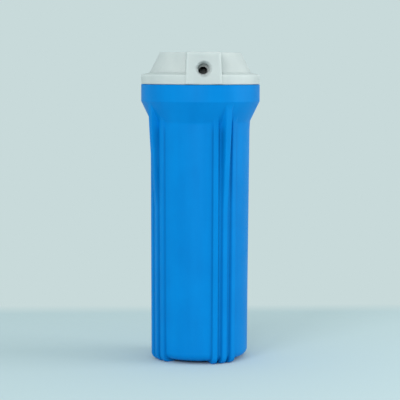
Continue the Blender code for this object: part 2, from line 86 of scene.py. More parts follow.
# %% Round the corners of an outline
def rounded(corners, step=15):
    """Turns (radius, height, fillet) corners into a line of points with an arc at each fillet."""
    line = []
    for place, (radius, height, fillet) in enumerate(corners):
        here = Vector((radius, height))
        if fillet <= 0:
            line.append(here)
            continue
        back = Vector(corners[place - 1][:2]) - here
        ahead = Vector(corners[place + 1][:2]) - here
        half = back.angle(ahead) / 2
        reach = min(fillet / math.tan(half), 0.49 * back.length, 0.49 * ahead.length)
        bend = reach * math.tan(half)
        middle = (back.normalized() + ahead.normalized()).normalized()
        centre = here + middle * (bend / math.sin(half))
        start = here + back.normalized() * reach - centre
        end = here + ahead.normalized() * reach - centre
        pieces = max(2, math.ceil((math.pi - 2 * half) / math.radians(step)))
        first, last = start.normalized(), end.normalized()
        turns = [first.slerp(last, share / pieces) for share in range(pieces + 1)]
        line += [centre + turn * bend for turn in turns]
    return line


def divided(line, longest):
    """The same line with extra points, so that no stretch of it is longer than longest."""
    points = [line[0]]
    for before, after in zip(line, line[1:]):
        count = max(1, math.ceil((after - before).length / longest))
        points += [before.lerp(after, share / count) for share in range(1, count + 1)]
    return points


# %% Draw an outline by extruding, and spin it
def deselect_all():
    if bpy.context.object and bpy.context.object.mode != "OBJECT":
        bpy.ops.object.mode_set(mode="OBJECT")
    bpy.ops.object.select_all(action="DESELECT")


def turned(name, line, steps, closed=False):
    """Extrudes one vertex along the line and spins the chain round Z into a closed skin.

    A long spin slows down as its mesh grows, so a quarter is spun and then copied three times.
    """
    deselect_all()
    bpy.ops.mesh.primitive_plane_add(size=MM)
    piece = bpy.context.object
    piece.name = name
    bpy.context.tool_settings.mesh_select_mode = (True, False, False)
    bpy.ops.object.mode_set(mode="EDIT")
    bpy.ops.mesh.merge(type="CENTER")
    bpy.ops.transform.translate(value=(line[0].x, 0.0, line[0].y))
    for before, after in zip(line, line[1:] + ([line[0]] if closed else [])):
        move = {"value": (after.x - before.x, 0.0, after.y - before.y)}
        bpy.ops.mesh.extrude_vertices_move(TRANSFORM_OT_translate=move)
    bpy.ops.mesh.select_all(action="SELECT")
    centre = {"center": (0, 0, 0), "axis": (0, 0, 1), "use_auto_merge": False}
    bpy.ops.mesh.spin(steps=steps // 4, angle=math.pi / 2, **centre)
    bpy.ops.mesh.select_all(action="SELECT")
    bpy.ops.mesh.spin(steps=3, angle=1.5 * math.pi, dupli=True, **centre)
    bpy.ops.mesh.select_all(action="SELECT")
    bpy.ops.mesh.remove_doubles(threshold=MM / 200)
    bpy.ops.mesh.normals_make_consistent(inside=False)
    bpy.ops.object.mode_set(mode="OBJECT")
    return piece


# %% Read and write a piece's vertices as numbers, and put it on its body
def vertices_of(piece):
    points = np.empty(len(piece.data.vertices) * 3)
    piece.data.vertices.foreach_get("co", points)
    return points.reshape(-1, 3)


def move_vertices(piece, points):
    piece.data.vertices.foreach_set("co", points.ravel())
    piece.data.update()


def apply_modifier(piece, kind, **settings):
    deselect_all()
    bpy.context.view_layer.objects.active = piece
    piece.select_set(True)
    modifier = piece.modifiers.new(kind.title(), kind)
    for name, value in settings.items():
        setattr(modifier, name, value)
    bpy.ops.object.modifier_apply(modifier=modifier.name)


def join_or_cut(piece, tool, operation):
    """Joins a helper solid to a piece, or cuts it out, and removes the helper."""
    apply_modifier(piece, "BOOLEAN", operation=operation, solver="EXACT", object=tool)
    bpy.data.objects.remove(tool, do_unlink=True)


def put_on(piece, body, slot, finish, *nodes, angle=35):
    """Shades a finished piece, gives it its finish, and lets it ride in place of its solids."""
    deselect_all()
    bpy.context.view_layer.objects.active = piece
    piece.select_set(True)
    bpy.ops.object.transform_apply(location=True, rotation=True, scale=True)
    bpy.ops.object.shade_smooth_by_angle(angle=math.radians(angle))
    piece.data.materials.clear()
    piece.data.materials.append(finish)
    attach(piece, body)
    if nodes:
        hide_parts(*nodes)
    triangles = sum(len(face.vertices) - 2 for face in piece.data.polygons)
    print(f"{piece.name}: {triangles} triangles on {body}")


# %% [markdown]
# ## Shader maths in plain Python
# A shader is a sum of small steps, and drawing each step as a node by hand hides the idea.
# A `Signal` wraps one output socket, so that `0.3 + 0.1 * clouds` adds the Math nodes by
# itself. A `Finish` is one material, and its `node` method adds any other node.


# %% Signals and finishes
class Signal:
    """One output of a shader's node that Python's operators can work with."""

    def __init__(self, tree, socket):
        self.tree = tree
        self.socket = socket

    def _step(self, operation, first, second):
        maths = self.tree.nodes.new("ShaderNodeMath")
        maths.operation = operation
        for socket, value in zip(maths.inputs, (first, second)):
            if isinstance(value, Signal):
                self.tree.links.new(value.socket, socket)
            else:
                socket.default_value = value
        return Signal(self.tree, maths.outputs[0])

    def __add__(self, other):
        return self._step("ADD", self, other)

    def __radd__(self, other):
        return self._step("ADD", other, self)

    def __rsub__(self, other):
        return self._step("SUBTRACT", other, self)

    def __rmul__(self, other):
        return self._step("MULTIPLY", other, self)


class Finish:
    """A material, its Principled shader and the nodes that feed it."""

    def __init__(self, name, **constants):
        self.material = bpy.data.materials.new(name)
        self.material.use_nodes = True
        self.tree = self.material.node_tree
        self.shader = self.tree.nodes["Principled BSDF"]
        for socket, value in constants.items():
            self.shader.inputs[socket.replace("_", " ")].default_value = value

    def node(self, kind, sockets=None, settings=None, out=0):
        made = self.tree.nodes.new(kind)
        for name, value in (settings or {}).items():
            setattr(made, name, value)
        for name, value in (sockets or {}).items():
            if isinstance(value, Signal):
                self.tree.links.new(value.socket, made.inputs[name])
            else:
                made.inputs[name].default_value = value
        return Signal(self.tree, made.outputs[out])

    def place(self, scale=(1.0, 1.0, 1.0)):
        """The point on the piece, in metres, stretched by scale."""
        point = self.node("ShaderNodeTexCoord", out="Object")
        return self.node("ShaderNodeMapping", {"Vector": point, "Scale": scale})

    def noise(self, scale, detail=3.0, stretch=(1.0, 1.0, 1.0), roughness=0.5):
        sockets = {"Vector": self.place(stretch), "Scale": scale, "Detail": detail}
        sockets["Roughness"] = roughness
        return self.node("ShaderNodeTexNoise", sockets)

    def between(self, signal, low, high):
        """0 below low, 1 above high, and a straight rise between them."""
        sockets = {"Value": signal, "From Min": low, "From Max": high}
        return self.node("ShaderNodeMapRange", sockets)

    def colour(self, share, first, second):
        """The first colour where share is 0, the second where it is 1."""
        mix = self.tree.nodes.new("ShaderNodeMix")
        mix.data_type = "RGBA"
        self.tree.links.new(share.socket, mix.inputs["Factor"])
        for socket, value in zip((mix.inputs[6], mix.inputs[7]), (first, second)):
            if isinstance(value, Signal):
                self.tree.links.new(value.socket, socket)
            else:
                socket.default_value = (*value, 1.0)
        return Signal(self.tree, mix.outputs[2])

    def feed(self, socket, signal):
        self.tree.links.new(signal.socket, self.shader.inputs[socket])

    def relief(self, height, depth):
        """Bumps the surface by height, from 0 to 1, times depth in metres."""
        sockets = {"Height": height, "Strength": 1.0, "Distance": depth}
        self.feed("Normal", self.node("ShaderNodeBump", sockets))


# %% [markdown]
# ## The finishes of the moulded plastics
# Both the bowl and the cap are injection-moulded polypropylene. Such a part looks plain from
# afar, yet it has a faint cloudiness from the pigment, long flow lines from the gate, a fine
# texture like orange peel, and a few scuffs that are duller than the skin round them. One
# recipe gives all four, and the bowl and the cap differ in colours and gloss. The bowl's colour
# also has a painted shade in the hollows between its ribs. White plastic
# also lets some light in under its skin, so the cap's finish has a little subsurface light.


# %% Moulded polypropylene
def moulded_plastic(name, deep, pale, gloss, grain_depth, specular, painted_shade_tone=1.0):
    """Deep and pale are the two tones; below 1, the last factor darkens the deep tone into a
    painted shade where the piece's attribute marks the hollows between ribs.
    """
    finish = Finish(name, IOR=1.49, Specular_IOR_Level=specular)
    clouds = finish.noise(28.0, 4.0)
    flow = finish.noise(14.0, 3.0, stretch=(6.0, 6.0, 0.7))
    specks = finish.between(finish.noise(900.0, 2.0), 0.70, 0.78)
    tone = 0.55 * clouds + 0.45 * flow
    blend = finish.colour(finish.between(tone, 0.36, 0.64), deep, pale)
    # Painted shade: where the piece's attribute marks the hollows between ribs, the colour turns
    # to a darker copy of the deep tone.
    if painted_shade_tone < 1:
        groove_shade = finish.node("ShaderNodeAttribute", settings={"attribute_name": "groove_shade"}, out=2)
        shaded = tuple(painted_shade_tone * value for value in deep)
        blend = finish.colour(groove_shade, blend, shaded)
    finish.feed("Base Color", finish.colour(0.10 * specks, blend, pale))
    scuffs = finish.between(finish.noise(60.0, 6.0, stretch=(1.0, 1.0, 2.4)), 0.58, 0.70)
    finish.feed("Roughness", gloss + 0.07 * flow + 0.10 * scuffs)
    peel = finish.noise(420.0, 2.0)
    grain = finish.noise(2400.0, 2.0)
    finish.relief(0.7 * peel + 0.3 * grain, grain_depth)
    return finish.material


# The bowl's last argument paints shade into its colour between the ribs.
blue_moulding = moulded_plastic(
    "blue_polypropylene", (0.0, 0.205, 0.60), (0.0, 0.234, 0.66), 0.40, 0.05 * MM, 0.06, 0.75
)
white_moulding = moulded_plastic(
    "white_polypropylene", (0.55, 0.585, 0.58), (0.60, 0.63, 0.62), 0.42, 0.04 * MM, 0.35
)
white_shader = white_moulding.node_tree.nodes["Principled BSDF"]
for socket, value in (("Weight", 0.55), ("Radius", (1.0, 1.0, 1.0)), ("Scale", 6 * MM)):
    white_shader.inputs["Subsurface " + socket].default_value = value
print("moulded plastics:", blue_moulding.name, white_moulding.name)

# %% [markdown]
# ## The finishes inside
# The O-ring is black rubber with a bloom of pale dust. The cartridge's flat gaskets are
# closed-cell foam, so cells of many sizes pit their faces. Its end caps are poured plastisol,
# a soft vinyl with small blisters. The pleats are spunbond polyester, whose long fibres run
# mostly one way, and the net over them and the core in them are thin plain polypropylene.


# %% Rubber, foam and plastisol
def rubber():
    finish = Finish("black_rubber", IOR=1.5)
    bloom = finish.between(finish.noise(160.0, 5.0), 0.45, 0.75)
    finish.feed("Base Color", finish.colour(bloom, (0.012, 0.012, 0.013), (0.045, 0.045, 0.047)))
    finish.feed("Roughness", 0.38 + 0.25 * bloom)
    finish.relief(finish.noise(1800.0, 3.0), 0.03 * MM)
    return finish.material


def closed_cell_foam():
    finish = Finish("grey_gasket_foam", IOR=1.4)
    sockets = {"Vector": finish.place(), "Scale": 1300.0}
    cells = finish.node("ShaderNodeTexVoronoi", sockets, {"feature": "F1"})
    patches = finish.noise(90.0, 3.0)
    shade = 0.7 * finish.between(cells, 0.15, 0.65) + 0.3 * patches
    finish.feed("Base Color", finish.colour(shade, (0.20, 0.21, 0.21), (0.42, 0.43, 0.42)))
    finish.feed("Roughness", 0.82 + 0.12 * patches)
    finish.relief(cells, 0.25 * MM)
    return finish.material


def poured_plastisol():
    finish = Finish("blue_plastisol", IOR=1.5)
    clouds = finish.noise(70.0, 4.0)
    blisters = finish.between(finish.noise(700.0, 1.0), 0.62, 0.75)
    finish.feed("Base Color", finish.colour(clouds, (0.03, 0.12, 0.36), (0.06, 0.18, 0.47)))
    finish.feed("Roughness", 0.46 + 0.14 * clouds)
    finish.relief(0.6 * clouds + 0.4 * blisters, 0.25 * MM)
    return finish.material


# %% Polyester, netting and core
def spunbond_polyester():
    finish = Finish("white_polyester", IOR=1.5, Sheen_Weight=0.2)
    fibres = finish.noise(1400.0, 4.0, stretch=(1.0, 1.0, 0.12), roughness=0.7)
    strays = finish.noise(900.0, 3.0, stretch=(0.2, 0.2, 1.0))
    bonds = finish.between(finish.noise(380.0, 2.0), 0.5, 0.62)
    mat = 0.6 * fibres + 0.4 * strays
    finish.feed("Base Color", finish.colour(mat, (0.62, 0.62, 0.59), (0.90, 0.90, 0.87)))
    finish.feed("Roughness", 0.9 - 0.15 * bonds)
    finish.relief(0.8 * mat + 0.2 * bonds, 0.2 * MM)
    return finish.material


def thin_polypropylene(name, deep, pale):
    finish = Finish(name, IOR=1.49)
    streaks = finish.noise(300.0, 3.0, stretch=(1.0, 1.0, 0.2))
    finish.feed("Base Color", finish.colour(streaks, deep, pale))
    finish.feed("Roughness", 0.35 + 0.2 * streaks)
    finish.relief(finish.noise(1500.0, 2.0), 0.03 * MM)
    return finish.material


black_rubber = rubber()
grey_foam = closed_cell_foam()
blue_plastisol = poured_plastisol()
polyester = spunbond_polyester()
net_plastic = thin_polypropylene("netting_polypropylene", (0.66, 0.67, 0.66), (0.80, 0.81, 0.80))
core_plastic = thin_polypropylene("core_polypropylene", (0.58, 0.60, 0.59), (0.72, 0.74, 0.73))
print("finishes:", len(bpy.data.materials))

# %% [markdown]
# ## The thread
# The cap and the bowl share one coarse right-hand thread. A thread can be made by a screw
# modifier, but its ends then stop dead. Here the plain bore or skirt is spun with closely
# spaced rings, and each vertex near the helix is moved in or out, so that the ridge rises
# from the wall with soft flanks and fades at both ends, as it does in a mould.

# %% A ridge along a helix
THREAD_LOW_Z = SEAM_Z - 14.0 * MM
THREAD_HIGH_Z = SEAM_Z - 2.4 * MM
RIDGE_ROOT_HALF = 1.3 * MM
RIDGE_CREST_HALF = 0.6 * MM
RIDGE_HEIGHT = 1.4 * MM
BORE_RING = 0.55 * MM  # between the rings of vertices that a thread is raised from
SKIRT_RING = 0.5 * MM


def ease(share):
    share = np.clip(share, 0.0, 1.0)
    return share * share * (3.0 - 2.0 * share)


def helix_ridge(height, angle, phase, low, high):
    """How far up the ridge a point is, from 0 on the wall to 1 on the crest."""
    turns = (height - phase) / PITCH - angle / (2 * math.pi)
    off = (turns - np.round(turns)) * PITCH
    flank = ease((RIDGE_ROOT_HALF - np.abs(off)) / (RIDGE_ROOT_HALF - RIDGE_CREST_HALF))
    centre = height - off
    ends = ease((centre - low) / MM) * ease((high - centre) / MM)
    return flank * ends


# %% [markdown]
# ## The bowl
# The bowl is one moulding: a slightly tapered wall, a floor raised clear of the table, a cone
# under the collar, and twelve ribs in four groups of three. The middle rib of each group
# swells into a gusset that carries the collar, and all twelve turn under the floor as feet.
# Ribs joined with a boolean would meet the wall in a hard line. So the plain wall is spun
# first, and its vertices are then moved out to the ribs' crests, with an eased shoulder that
# leaves the same fillets as the mould.

# %% The bowl's sizes
WALL_TOP_R = 47.9 * MM
WALL_FOOT_R = 46.3 * MM
FLOOR_LIFT = 2.8 * MM
CORNER_R = 7.2 * MM
CORNER_Z = FLOOR_LIFT + CORNER_R
CONE_TOP_Z = SEAM_Z - 16.2 * MM
CONE_END_Z = SEAM_Z - 36.1 * MM
CONE_FILLET = 7.0 * MM
COLLAR_FILLET = 1.6 * MM
LEDGE_R = 51.0 * MM
LEDGE_Z = SEAM_Z - 20.9 * MM
LIP_R = 46.2 * MM
LIP_Z = SEAM_Z - 18.6 * MM
LIP_WIDTH = 1.6 * MM
BORE_R = 52.4 * MM
LEAD_IN = 1.2 * MM
SEAT_R = 17.5 * MM
SEAT_Z = 12.5 * MM
GATE_R = 3.0 * MM
GATE_DEPTH = 1.0 * MM

RIB_GROUPS = 4
RIB_GROUP_TURN = 26.5  # degrees from -Y towards +X
RIB_STEP = 11.8
RIB_HALF = 2.75 * MM
RIB_TOP_R = 49.7 * MM
RIB_FOOT_R = 48.7 * MM
RIB_TOP_Z = SEAM_Z - 31.0 * MM
RIB_CORNER_R = 7.0 * MM
RIB_FOOT_END_R = 32.0 * MM
FLOOR_END_R = RIB_FOOT_END_R - 4.0 * MM
FOOT_START_R = RIB_FOOT_END_R - 1.0 * MM
FOOT_STEPS = 9
FOOT_LIFTS = (1.0, 0.9, 0.5, 0.1)  # the foot's inner end slopes down to the table
FOOT_CROWD = 1.4  # above 1, the foot's points crowd towards its inner end
RIB_CREST_EDGE = 0.6 * MM
RIB_ROOT_FILLET = 0.7 * MM
GROUP_SHOULDER = 3.2 * MM  # the wide soft fillet on the outer side of each group
GROUP_SHOULDER_HEIGHT = 0.12
GROUP_SHOULDER_RUN = 20.0 * MM
GUSSET_HALF = 3.6 * MM
GUSSET_TOP_Z = SEAM_Z - 16.0 * MM
GUSSET_TOP_R = 55.9 * MM
GUSSET_END_Z = 150.0 * MM
GUSSET_CURVE = 1.25
CREST_BLEND = 1.5 * MM
# Painted shade: how far from a rib the wall's colour is darkened, and how far below the cone it
# fades in.
PAINTED_SHADE_REACH = 2.6 * MM  # how far from a rib the wall still looks darker
PAINTED_SHADE_RUN = 12.0 * MM
RIM_POINTS = 8  # the outline's last points outside, which belong to the rim
LOW_RINGS = [14 * MM, 30 * MM, 60 * MM, 90 * MM, 120 * MM]
GUSSET_RINGS = [GUSSET_END_Z + 5 * MM * step for step in range(-1, 15)]
CONE_RING = 2.0 * MM
CORNER_PIECES = 12
ROUND_STEPS = 480
FINE_SHARE = 0.7  # of the spin's steps that fall on the groups of ribs
FINE_HALF = 19.0  # degrees either side of a group's middle


# %% Three lines up the outside: the wall, a rib's crest and a gusset's crest
def wall_r(height):
    share = (height - CORNER_Z) / (CONE_END_Z - CORNER_Z)
    return WALL_FOOT_R + (WALL_TOP_R - WALL_FOOT_R) * share


def rib_r(height):
    share = (height - RIB_CORNER_R) / (RIB_TOP_Z - RIB_CORNER_R)
    return RIB_FOOT_R + (RIB_TOP_R - RIB_FOOT_R) * share


def gusset_r(height):
    fall = (GUSSET_TOP_Z - height) / (GUSSET_TOP_Z - GUSSET_END_Z)
    if fall >= 1:
        return rib_r(height)
    end_r = rib_r(GUSSET_END_Z)
    return GUSSET_TOP_R + (end_r - GUSSET_TOP_R) * max(0.0, fall) ** GUSSET_CURVE


def softly_larger(first, second, blend=CREST_BLEND):
    """The larger of two radii, with a fillet where they cross."""
    near = max(blend - abs(first - second), 0.0) / blend
    return max(first, second) + near * near * blend / 4


def corner_arc(centre_r, centre_z, radius, pieces):
    angles = [math.radians(-90 + 90 * step / pieces) for step in range(pieces + 1)]
    points = [(centre_r + radius * math.cos(a), centre_z + radius * math.sin(a)) for a in angles]
    return [Vector(point) for point in points]


def outside_lines():
    """The same number of points on each line, so that a vertex can move from one to another."""
    wall = rounded([
        (0.0, FLOOR_LIFT + GATE_DEPTH, 0),
        (GATE_R, FLOOR_LIFT + GATE_DEPTH, 0),
        (GATE_R + GATE_DEPTH, FLOOR_LIFT, 0),
        (FLOOR_END_R, FLOOR_LIFT, 0),
    ])
    rib = list(wall)
    wall_end_r = WALL_FOOT_R - CORNER_R
    rib_end_r = RIB_FOOT_R - RIB_CORNER_R
    for step in range(FOOT_STEPS):
        share = step / FOOT_STEPS
        wall_here = FOOT_START_R + (wall_end_r - FOOT_START_R) * share
        rib_here = FOOT_START_R + (rib_end_r - FOOT_START_R) * share**FOOT_CROWD
        lift = FOOT_LIFTS[step] if step < len(FOOT_LIFTS) else 0.0
        wall.append(Vector((wall_here, FLOOR_LIFT)))
        rib.append(Vector((rib_here, FLOOR_LIFT * lift)))
    wall += corner_arc(wall_end_r, CORNER_Z, CORNER_R, CORNER_PIECES)
    rib += corner_arc(rib_end_r, RIB_CORNER_R, RIB_CORNER_R, CORNER_PIECES)
    heights = LOW_RINGS + GUSSET_RINGS
    gusset = list(rib)
    for height in heights:
        wall.append(Vector((wall_r(height), height)))
        rib.append(Vector((rib_r(height), height)))
        gusset.append(Vector((gusset_r(height), height)))
    cone = [
        (wall_r(heights[-1]), heights[-1], 0),
        (WALL_TOP_R, CONE_END_Z, CONE_FILLET),
        (COLLAR_R, CONE_TOP_Z, COLLAR_FILLET),
        (COLLAR_R, SEAM_Z, EDGE),
        (BORE_R + LEAD_IN, SEAM_Z, 0.3 * MM),
    ]
    cone = rounded([*cone, (BORE_R, SEAM_Z - LEAD_IN, 0)], step=8)
    for point in divided(cone, CONE_RING)[1:]:
        outer = point.y < CONE_TOP_Z + CONE_RING
        wall.append(point)
        rib.append(Vector((softly_larger(point.x, rib_r(point.y)), point.y)) if outer else point)
        crest = softly_larger(point.x, gusset_r(min(point.y, GUSSET_TOP_Z)))
        gusset.append(Vector((crest, point.y)) if outer else point)
    return wall, rib, gusset


def inside_line():
    floor_z = FLOOR_LIFT + WALL
    bore = [Vector((BORE_R, SEAM_Z - LEAD_IN)), Vector((BORE_R, CONE_TOP_Z + LEAD_IN))]
    rest = rounded([
        (BORE_R, CONE_TOP_Z + LEAD_IN, 0),
        (LEDGE_R, CONE_TOP_Z, EDGE),
        (LEDGE_R, LEDGE_Z, EDGE),
        (LIP_R, LEDGE_Z, EDGE),
        (LIP_R, LIP_Z, EDGE / 2),
        (LIP_R - LIP_WIDTH, LIP_Z, EDGE / 2),
        (LIP_R - LIP_WIDTH - EDGE, LIP_Z - 2 * EDGE, 0),
        (WALL_TOP_R - WALL, CONE_END_Z, 2 * EDGE),
        (WALL_FOOT_R - WALL, floor_z, 5 * MM),
        (SEAT_R + 2 * MM, floor_z, EDGE),
        (SEAT_R + MM, SEAT_Z, EDGE / 2),
        (SEAT_R - MM, SEAT_Z, EDGE / 2),
        (SEAT_R - 2 * MM, floor_z, EDGE),
        (0.0, floor_z, 0),
    ])
    return divided(bore, BORE_RING)[1:] + rest[1:]


# %% Spin the wall, then raise the ribs and the thread from it
def crowd_angles(angle):
    """Moves the spin's even steps together where the ribs are, so that their edges are fine."""
    middle = math.radians(RIB_GROUP_TURN - 90)
    part = 2 * math.pi / RIB_GROUPS
    place = np.mod(angle - middle + part / 2, part) - part / 2
    fine, half = part / 2 * FINE_SHARE, math.radians(FINE_HALF)
    inside = np.abs(place) * half / fine
    outside = half + (np.abs(place) - fine) * (part / 2 - half) / (part / 2 - fine)
    moved = np.sign(place) * np.where(np.abs(place) <= fine, inside, outside)
    return angle - place + moved


def make_bowl():
    """Spins the wall, then moves each vertex the share of its way out to the nearest crest."""
    wall, rib, gusset = outside_lines()
    inner = inside_line()
    bowl = turned("bowl", [*wall, *inner], ROUND_STEPS)
    points = vertices_of(bowl)
    radius = np.hypot(points[:, 0], points[:, 1])
    angle = crowd_angles(np.arctan2(points[:, 1], points[:, 0]))
    line = np.array([*wall, *inner])
    here = np.stack([radius, points[:, 2]], axis=1)
    near = np.argmin(((here[:, None, :] - line[None, :, :]) ** 2).sum(axis=2), axis=1)
    shape = line[near].copy()
    crests = {0: np.array([*gusset, *inner]), 1: np.array([*rib, *inner])}
    best = np.zeros(len(points))
    groove_shade = np.zeros(len(points))
    for group in range(RIB_GROUPS):
        for place in (-1, 0, 1):
            crest = crests[abs(place)][near]
            turn = math.radians(RIB_GROUP_TURN - 90 + 360 / RIB_GROUPS * group + RIB_STEP * place)
            off = np.mod(angle - turn + math.pi, 2 * math.pi) - math.pi
            across = crest[:, 0] * np.sin(np.clip(off, -1.5, 1.5))
            swell = ease((crest[:, 1] - GUSSET_END_Z) / (GUSSET_TOP_Z - GUSSET_END_Z))
            half = RIB_HALF + (GUSSET_HALF - RIB_HALF) * swell * (place == 0)
            flank = (half + RIB_ROOT_FILLET - np.abs(across)) / (RIB_ROOT_FILLET + RIB_CREST_EDGE)
            share = ease(flank)
            outward = across * place
            shoulder = ease((half + GROUP_SHOULDER - outward) / GROUP_SHOULDER) * (outward > 0)
            shoulder = shoulder * ease((crest[:, 1] - CORNER_Z) / GROUP_SHOULDER_RUN)
            share = np.maximum(share, GROUP_SHOULDER_HEIGHT * shoulder)
            # Painted shade beside each rib, standing in for the shade that falls in the hollows
            # between ribs.
            beside = ease((half + PAINTED_SHADE_REACH - np.abs(across)) / PAINTED_SHADE_REACH)
            groove_shade = np.maximum(groove_shade, beside)
            better = share > best
            moved = line[near] + (crest - line[near]) * share[:, None]
            shape[better] = moved[better]
            best = np.maximum(best, share)
    bore = np.abs(line[near][:, 0] - BORE_R) < ON_WALL
    bore = bore & (line[near][:, 1] > THREAD_LOW_Z - 2 * MM)
    ridge = helix_ridge(shape[:, 1], angle, THREAD_LOW_Z, THREAD_LOW_Z, THREAD_HIGH_Z)
    shape[:, 0] -= RIDGE_HEIGHT * ridge * bore
    away, up = shape[:, 0], shape[:, 1]
    move_vertices(bowl, np.stack([away * np.cos(angle), away * np.sin(angle), up], axis=1))
    # Painted shade: the attribute stores where the wall's colour darkens beside the ribs, below
    # the cone and off their crests.
    outside = near < len(wall) - RIM_POINTS
    below_cone = ease((CONE_END_Z - up) / PAINTED_SHADE_RUN) * outside
    mark = bowl.data.attributes.new("groove_shade", "FLOAT", "POINT")
    mark.data.foreach_set("value", groove_shade * (1 - best) * below_cone)
    return bowl


bowl = make_bowl()
put_on(bowl, "sump", "sump", blue_moulding, "sump", angle=50)

# %% [markdown]
# ## The cap
# The cap is a second moulding, white and satin. Its flange meets the bowl's rim, a short
# threaded skirt goes down inside, and a low dome closes the top. Inside, a well carries the
# clean water from the cartridge's bore to the outlet, with a ring that presses into the
# cartridge's gasket. The round body is spun like the bowl.

# %% The cap's sizes
FLANGE_Z = SEAM_Z + GAP
FLANGE_TOP_Z = SEAM_Z + 9.6 * MM
DOME_FOOT_R = 49.2 * MM
DOME_FOOT_Z = SEAM_Z + 11.4 * MM
DOME_TOP_R = 39.4 * MM
DOME_TOP_Z = TOP_Z - 0.3 * MM
DOME_EDGE = 1.6 * MM
GATE_MARK_R = 3.2 * MM
GATE_MARK_DEPTH = 0.6 * MM
SKIRT_R = 50.5 * MM
SKIRT_INNER_R = 46.5 * MM
SKIRT_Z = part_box("cap")[0].z
SKIRT_TOP_Z = SEAM_Z + 5.0 * MM
CEILING_Z = DOME_TOP_Z - 4.5 * MM
WELL_R = 14.5 * MM
WELL_BORE_R = 10.6 * MM
WELL_TOP_Z = DOME_TOP_Z - 8.7 * MM
WELL_SLOPE_Z = SEAM_Z + 2.5 * MM
KNIFE_R = 17.4 * MM
KNIFE_ROOT_HALF = 1.6 * MM
KNIFE_HEIGHT = 3.0 * MM
SPIGOT_R = 13.2 * MM
SPIGOT_Z = SEAM_Z - 13.5 * MM
CAP_THREAD_LOW_Z = SEAM_Z - 14.4 * MM
CAP_THREAD_HIGH_Z = SEAM_Z - 2.8 * MM


# %% Spin the cap's body and raise its thread
def cap_body():
    knife_z = CARTRIDGE_TOP_Z + KNIFE_HEIGHT
    top = rounded([
        (0.0, DOME_TOP_Z - GATE_MARK_DEPTH, 0),
        (GATE_MARK_R - GATE_MARK_DEPTH, DOME_TOP_Z - GATE_MARK_DEPTH, 0),
        (GATE_MARK_R, DOME_TOP_Z, 0),
        (DOME_TOP_R, DOME_TOP_Z, DOME_EDGE),
        (DOME_FOOT_R, DOME_FOOT_Z, EDGE),
        (COLLAR_R, FLANGE_TOP_Z - 0.3 * MM, DOME_EDGE),
        (COLLAR_R, FLANGE_Z, EDGE),
        (SKIRT_R, FLANGE_Z, 0.3 * MM),
        (SKIRT_R, FLANGE_Z - 2 * MM, 0),
    ], step=10)
    thread = divided([top[-1], Vector((SKIRT_R, SKIRT_Z + EDGE))], SKIRT_RING)[1:]
    rest = rounded([
        (SKIRT_R, SKIRT_Z + EDGE, 0),
        (SKIRT_R - EDGE, SKIRT_Z, 0),
        (SKIRT_INNER_R, SKIRT_Z, EDGE),
        (SKIRT_INNER_R, SKIRT_TOP_Z, 3 * MM),
        (DOME_FOOT_R - WALL, DOME_FOOT_Z - DOME_EDGE, 3 * MM),
        (DOME_TOP_R - WALL, CEILING_Z, 2 * MM),
        (WELL_R, CEILING_Z, 2 * MM),
        (WELL_R, WELL_SLOPE_Z, EDGE),
        (KNIFE_R + KNIFE_ROOT_HALF, WELL_SLOPE_Z - KNIFE_ROOT_HALF, EDGE),
        (KNIFE_R + KNIFE_ROOT_HALF, knife_z, 0),
        (KNIFE_R, CARTRIDGE_TOP_Z + GAP, EDGE / 2),
        (KNIFE_R - KNIFE_ROOT_HALF, knife_z, EDGE),
        (SPIGOT_R, knife_z, EDGE),
        (SPIGOT_R, SPIGOT_Z, EDGE),
        (WELL_BORE_R, SPIGOT_Z, EDGE / 2),
        (WELL_BORE_R, WELL_TOP_Z, EDGE),
        (0.0, WELL_TOP_Z, 0),
    ])
    cap = turned("cap_moulding", [*top, *thread, *rest[1:]], 240)
    points = vertices_of(cap)
    radius = np.hypot(points[:, 0], points[:, 1])
    angle = np.arctan2(points[:, 1], points[:, 0])
    skirt = np.abs(radius - SKIRT_R) < ON_WALL
    phase = THREAD_LOW_Z - PITCH / 2
    ridge = helix_ridge(points[:, 2], angle, phase, CAP_THREAD_LOW_Z, CAP_THREAD_HIGH_Z)
    longer = 1 + RIDGE_HEIGHT * ridge * skirt / np.maximum(radius, MM)
    points[:, :2] *= longer[:, None]
    move_vertices(cap, points)
    return cap


# %% [markdown]
# ## The ports
# Each port is a block that stands on the flange and runs back into the dome. It is a cube
# whose foot is a little wider than its top, because a mould has to let go of it, and whose
# outer edges are bevelled. The bore in it opens in a cone and has a tapped pipe thread, so
# the cutter that makes it is a threaded plug, with the same moved vertices as the large
# thread. Booleans leave the big flat faces as uneven polygons, and smooth shading would show
# them as faint wedges. So those faces are shaded flat, and the round ones stay smooth.

# %% The sizes of the ports and of the bracket's pilot holes
BLOCK_TOP_WIDTH = 32.0 * MM
BLOCK_FOOT_WIDTH = 34.6 * MM
BLOCK_BOTTOM_Z = SEAM_Z + 1.0 * MM
BLOCK_INNER_Y = 34.0 * MM
BLOCK_EDGE = 1.7 * MM
PORT_Z = SEAM_Z + 15.0 * MM
PORT_R = 6.3 * MM
PORT_DEPTH = 14.0 * MM
PORT_MOUTH_R = 7.7 * MM
PORT_MOUTH_DEPTH = 3.6 * MM
PIPE_PITCH = 1.41 * MM
PIPE_THREAD = 0.9 * MM
PIPE_CREST = 0.15  # the share of the pitch that is left flat on the thread's crest and root
PIPE_MIDDLE = 0.35  # the share of the thread's height that stands inside the bore's radius
PIPE_LEAD_IN = 0.6 * MM
PIPE_RUN_OUT = 3.0 * MM
PIPE_RING = 0.16 * MM
PIPE_TAPER = 1.3 * MM  # how much narrower the tapped bore is at its end
PASSAGE_R = 4.15 * MM
PASSAGE_Z = SEAM_Z + 13.0 * MM
PIPE_R = 7.5 * MM
PILOT_X = 26.0 * MM
PILOT_Y = 15.0 * MM
PILOT_R = 1.8 * MM
PILOT_DEPTH = 9.0 * MM
PILOT_BOSS_R = 4.2 * MM
PILOT_BOSS_Z = DOME_TOP_Z - 11.7 * MM
FLAT_NORMAL = 0.99999
FLAT_AREA = 2.0 * MM**2


